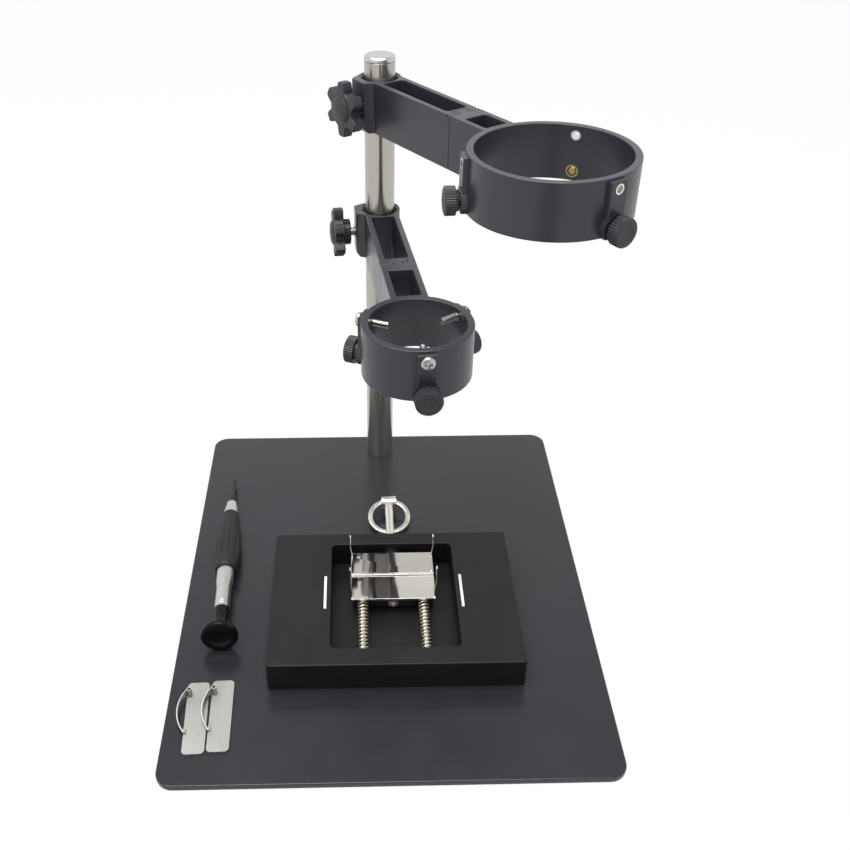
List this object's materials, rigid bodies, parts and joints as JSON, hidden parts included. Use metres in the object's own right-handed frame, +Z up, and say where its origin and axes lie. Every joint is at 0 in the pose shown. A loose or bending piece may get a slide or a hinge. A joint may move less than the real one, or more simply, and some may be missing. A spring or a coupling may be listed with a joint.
{
  "type": "bga rework station",
  "caption": "Board rework stand: flat base plate, chrome post, swivelling arms with clamp rings set by star knobs, spring-jawed chip jig with push rod, clips and small screwdriver.",
  "frame": {"origin": "centre of the base plate's underside", "axes": "+X to the right seen from the front edge, +Y from the front edge back to the post, +Z up along the post"},
  "size_m": [0.2023, 0.25, 0.2335],
  "materials": {
    "plate_paint": "satin charcoal paint",
    "post_chrome": "polished",
    "screw_steel": "zinc plated",
    "bush_nylon": "black nylon",
    "arm_black": "semi-gloss charcoal moulding",
    "insert_brass": "turned",
    "insert_nickel": "nickel plated",
    "knob_black": "matt black moulding",
    "jig_black": "fine-grained black moulding",
    "jaw_mirror": "mirror stainless sheet",
    "jaw_block": "dark anodised",
    "spring_steel": "nickel plated wire",
    "rod_nickel": "bright nickel",
    "grip_rubber": "fluted black rubber",
    "driver_alu": "satin",
    "cap_gloss": "gloss black",
    "blade_black": "black oxide",
    "clip_steel": "satin stainless"
  },
  "bodies": {
    "base": {"base_plate": "plate_paint", "post_tube": "post_chrome", "post_cap": "post_chrome", "post_plug": "screw_steel", "post_screw": "screw_steel"},
    "upper_slider": {"upper_bush": "bush_nylon"},
    "upper_arm": {"upper_arm": "arm_black", "upper_ring": "arm_black", "upper_clamp_nut": "insert_brass", "upper_inserts": "insert_nickel", "upper_bushings": "insert_brass"},
    "upper_knob": {"upper_knob": "knob_black", "upper_knob_stud": "screw_steel"},
    "upper_thumb_1": {"upper_thumb_1": "knob_black", "upper_stud_1": "insert_brass"},
    "upper_thumb_2": {"upper_thumb_2": "knob_black", "upper_stud_2": "insert_brass"},
    "upper_thumb_3": {"upper_thumb_3": "knob_black", "upper_stud_3": "insert_brass"},
    "lower_slider": {"lower_bush": "bush_nylon"},
    "lower_arm": {"lower_arm": "arm_black", "lower_ring": "arm_black", "lower_clamp_nut": "insert_brass", "lower_inserts": "insert_nickel", "lower_bushings": "insert_brass"},
    "lower_knob": {"lower_knob": "knob_black", "lower_knob_stud": "screw_steel"},
    "lower_thumb_1": {"lower_thumb_1": "knob_black", "lower_stud_1": "insert_brass"},
    "lower_screw_1": {"lower_screw_1": "screw_steel"},
    "lower_thumb_2": {"lower_thumb_2": "knob_black", "lower_stud_2": "insert_brass"},
    "lower_screw_2": {"lower_screw_2": "screw_steel"},
    "lower_thumb_3": {"lower_thumb_3": "knob_black", "lower_stud_3": "insert_brass"},
    "lower_screw_3": {"lower_screw_3": "screw_steel"},
    "jig": {"jig_body": "jig_black", "slot_strips": "clip_steel", "guide_rods": "rod_nickel", "rod_guide": "screw_steel", "rear_jaw_block": "jaw_block", "rear_jaw_plate": "jaw_mirror", "rear_jaw_screws": "screw_steel", "jaw_springs": "spring_steel"},
    "front_jaw": {"front_jaw_block": "jaw_block", "front_jaw_plate": "jaw_mirror", "front_jaw_screws": "screw_steel", "push_rod": "rod_nickel", "rod_screw": "screw_steel"},
    "pull_ring": {"pull_ring": "rod_nickel"},
    "driver": {"driver_blade": "blade_black", "driver_ferrule": "driver_alu", "driver_grip": "grip_rubber", "driver_barrel": "driver_alu", "driver_neck": "knob_black"},
    "driver_cap": {"driver_cap": "cap_gloss"},
    "clip_left": {"clip_left": "clip_steel"},
    "clip_right": {"clip_right": "clip_steel"}
  },
  "joints": [
    {"name": "upper_height", "type": "slide", "parent": "base", "child": "upper_slider", "axis": [0, 0, 1], "range_m": [-0.03, 0.008]},
    {"name": "upper_swivel", "type": "hinge", "parent": "upper_slider", "child": "upper_arm", "pos_m": [0, 0.1113, 0.2115], "axis": [0, 0, 1], "continuous": true},
    {"name": "upper_knob_turn", "type": "hinge", "parent": "upper_arm", "child": "upper_knob", "pos_m": [-0.01333, 0.10245, 0.2115], "axis": [-0.8329, -0.5534, 0], "range_deg": [0, 720]},
    {"name": "upper_thumb_1_turn", "type": "hinge", "parent": "upper_arm", "child": "upper_thumb_1", "pos_m": [0.08937, -0.02322, 0.2036], "axis": [0.5534, -0.8329, 0], "range_deg": [0, 720]},
    {"name": "upper_thumb_2_turn", "type": "hinge", "parent": "upper_arm", "child": "upper_thumb_2", "pos_m": [0.08502, 0.04593, 0.2036], "axis": [0.4446, 0.8957, 0], "range_deg": [0, 720]},
    {"name": "upper_thumb_3_turn", "type": "hinge", "parent": "upper_arm", "child": "upper_thumb_3", "pos_m": [0.02732, 0.00759, 0.2036], "axis": [-0.998, -0.0628, 0], "range_deg": [0, 720]},
    {"name": "lower_height", "type": "slide", "parent": "base", "child": "lower_slider", "axis": [0, 0, 1], "range_m": [-0.06, 0.008]},
    {"name": "lower_swivel", "type": "hinge", "parent": "lower_slider", "child": "lower_arm", "pos_m": [0, 0.1113, 0.145], "axis": [0, 0, 1], "continuous": true},
    {"name": "lower_knob_turn", "type": "hinge", "parent": "lower_arm", "child": "lower_knob", "pos_m": [-0.0159, 0.10954, 0.145], "axis": [-0.994, -0.1097, 0], "range_deg": [0, 720]},
    {"name": "lower_thumb_1_turn", "type": "hinge", "parent": "lower_arm", "child": "lower_thumb_1", "pos_m": [0.01651, -0.03829, 0.1371], "axis": [0.1097, -0.994, 0], "range_deg": [0, 720]},
    {"name": "lower_screw_1_turn", "type": "hinge", "parent": "lower_arm", "child": "lower_screw_1", "pos_m": [0.01651, -0.03829, 0.1528], "axis": [0.1097, -0.994, 0], "range_deg": [0, 720]},
    {"name": "lower_thumb_2_turn", "type": "hinge", "parent": "lower_arm", "child": "lower_thumb_2", "pos_m": [0.03671, 0.0077, 0.1371], "axis": [0.8059, 0.592, 0], "range_deg": [0, 720]},
    {"name": "lower_screw_2_turn", "type": "hinge", "parent": "lower_arm", "child": "lower_screw_2", "pos_m": [0.03671, 0.0077, 0.1528], "axis": [0.8059, 0.592, 0], "range_deg": [0, 720]},
    {"name": "lower_thumb_3_turn", "type": "hinge", "parent": "lower_arm", "child": "lower_thumb_3", "pos_m": [-0.01322, 0.00219, 0.1371], "axis": [-0.9157, 0.4019, 0], "range_deg": [0, 720]},
    {"name": "lower_screw_3_turn", "type": "hinge", "parent": "lower_arm", "child": "lower_screw_3", "pos_m": [-0.01322, 0.00219, 0.1528], "axis": [-0.9157, 0.4019, 0], "range_deg": [0, 720]},
    {"name": "jig_lift", "type": "slide", "parent": "base", "child": "jig", "axis": [0, 0, 1], "range_m": [0, 0.03]},
    {"name": "jaw_open", "type": "slide", "parent": "jig", "child": "front_jaw", "axis": [0, -1, 0], "range_m": [0, 0.014], "stiffness_N_per_m": 400, "springref_m": -0.01, "deforming": ["jaw_springs"]},
    {"name": "pull_ring_swing", "type": "hinge", "parent": "front_jaw", "child": "pull_ring", "pos_m": [0.0035, 0.0524, 0.0096], "axis": [-1, 0, 0], "range_deg": [0, 3]},
    {"name": "driver_lift", "type": "slide", "parent": "base", "child": "driver", "axis": [0, 0, 1], "range_m": [0, 0.03]},
    {"name": "driver_cap_spin", "type": "hinge", "parent": "driver", "child": "driver_cap", "pos_m": [-0.0793, -0.0499, 0.01204], "axis": [-0.0384, 0.9986, -0.0363], "continuous": true},
    {"name": "clip_left_slide", "type": "slide", "parent": "base", "child": "clip_left", "axis": [-1, 0, 0], "range_m": [0, 0.005]},
    {"name": "clip_right_lift", "type": "slide", "parent": "base", "child": "clip_right", "axis": [0, 0, 1], "range_m": [0, 0.03]}
  ]
}
